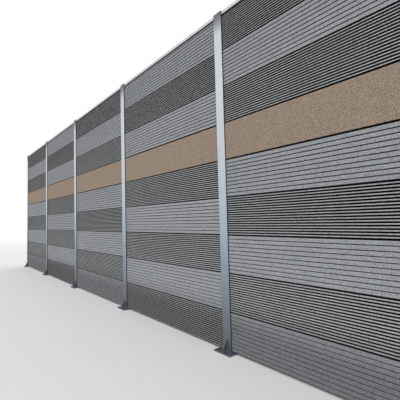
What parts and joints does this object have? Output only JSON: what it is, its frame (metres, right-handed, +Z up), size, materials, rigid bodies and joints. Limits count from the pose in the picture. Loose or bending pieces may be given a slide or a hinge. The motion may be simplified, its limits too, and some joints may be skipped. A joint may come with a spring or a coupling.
{
  "type": "highway noise barrier",
  "caption": "Run of a highway noise barrier: galvanised H posts on base plates hold stacked ribbed, slatted and plain sand-coloured absorbing panels under a sheet metal coping.",
  "frame": {"origin": "centre of the underside of the first post's base plate, at the end of the run that is far away in the picture", "axes": "+X along the barrier, to the right as seen from the road; -Y towards the road; +Z up"},
  "size_m": [15.3, 0.35, 4.569],
  "materials": {
    "galvanised_steel": "hot-dip galvanised, matt spangle",
    "ribbed_concrete": "open-pored cast ribs",
    "slatted_concrete": "open-pored cast slats",
    "sand_concrete": "granular, through-coloured",
    "coping_sheet": "galvanised sheet",
    "seal_rubber": "matt black"
  },
  "bodies": {
    "root": {"post_1": "galvanised_steel", "base_plate_1": "galvanised_steel", "gussets_1": "galvanised_steel", "post_2": "galvanised_steel", "base_plate_2": "galvanised_steel", "gussets_2": "galvanised_steel", "post_3": "galvanised_steel", "base_plate_3": "galvanised_steel", "gussets_3": "galvanised_steel", "post_4": "galvanised_steel", "base_plate_4": "galvanised_steel", "gussets_4": "galvanised_steel", "post_5": "galvanised_steel", "base_plate_5": "galvanised_steel", "gussets_5": "galvanised_steel", "post_6": "galvanised_steel", "base_plate_6": "galvanised_steel", "gussets_6": "galvanised_steel", "ribbed_panels_1": "ribbed_concrete", "slatted_panels_1": "slatted_concrete", "plain_panel_1": "sand_concrete", "coping_1": "coping_sheet", "seals_1": "seal_rubber", "ribbed_panels_2": "ribbed_concrete", "slatted_panels_2": "slatted_concrete", "plain_panel_2": "sand_concrete", "coping_2": "coping_sheet", "seals_2": "seal_rubber", "ribbed_panels_3": "ribbed_concrete", "slatted_panels_3": "slatted_concrete", "plain_panel_3": "sand_concrete", "coping_3": "coping_sheet", "seals_3": "seal_rubber", "ribbed_panels_4": "ribbed_concrete", "slatted_panels_4": "slatted_concrete", "plain_panel_4": "sand_concrete", "coping_4": "coping_sheet", "seals_4": "seal_rubber", "ribbed_panels_5": "ribbed_concrete", "slatted_panels_5": "slatted_concrete", "plain_panel_5": "sand_concrete", "coping_5": "coping_sheet", "seals_5": "seal_rubber"}
  },
  "joints": []
}
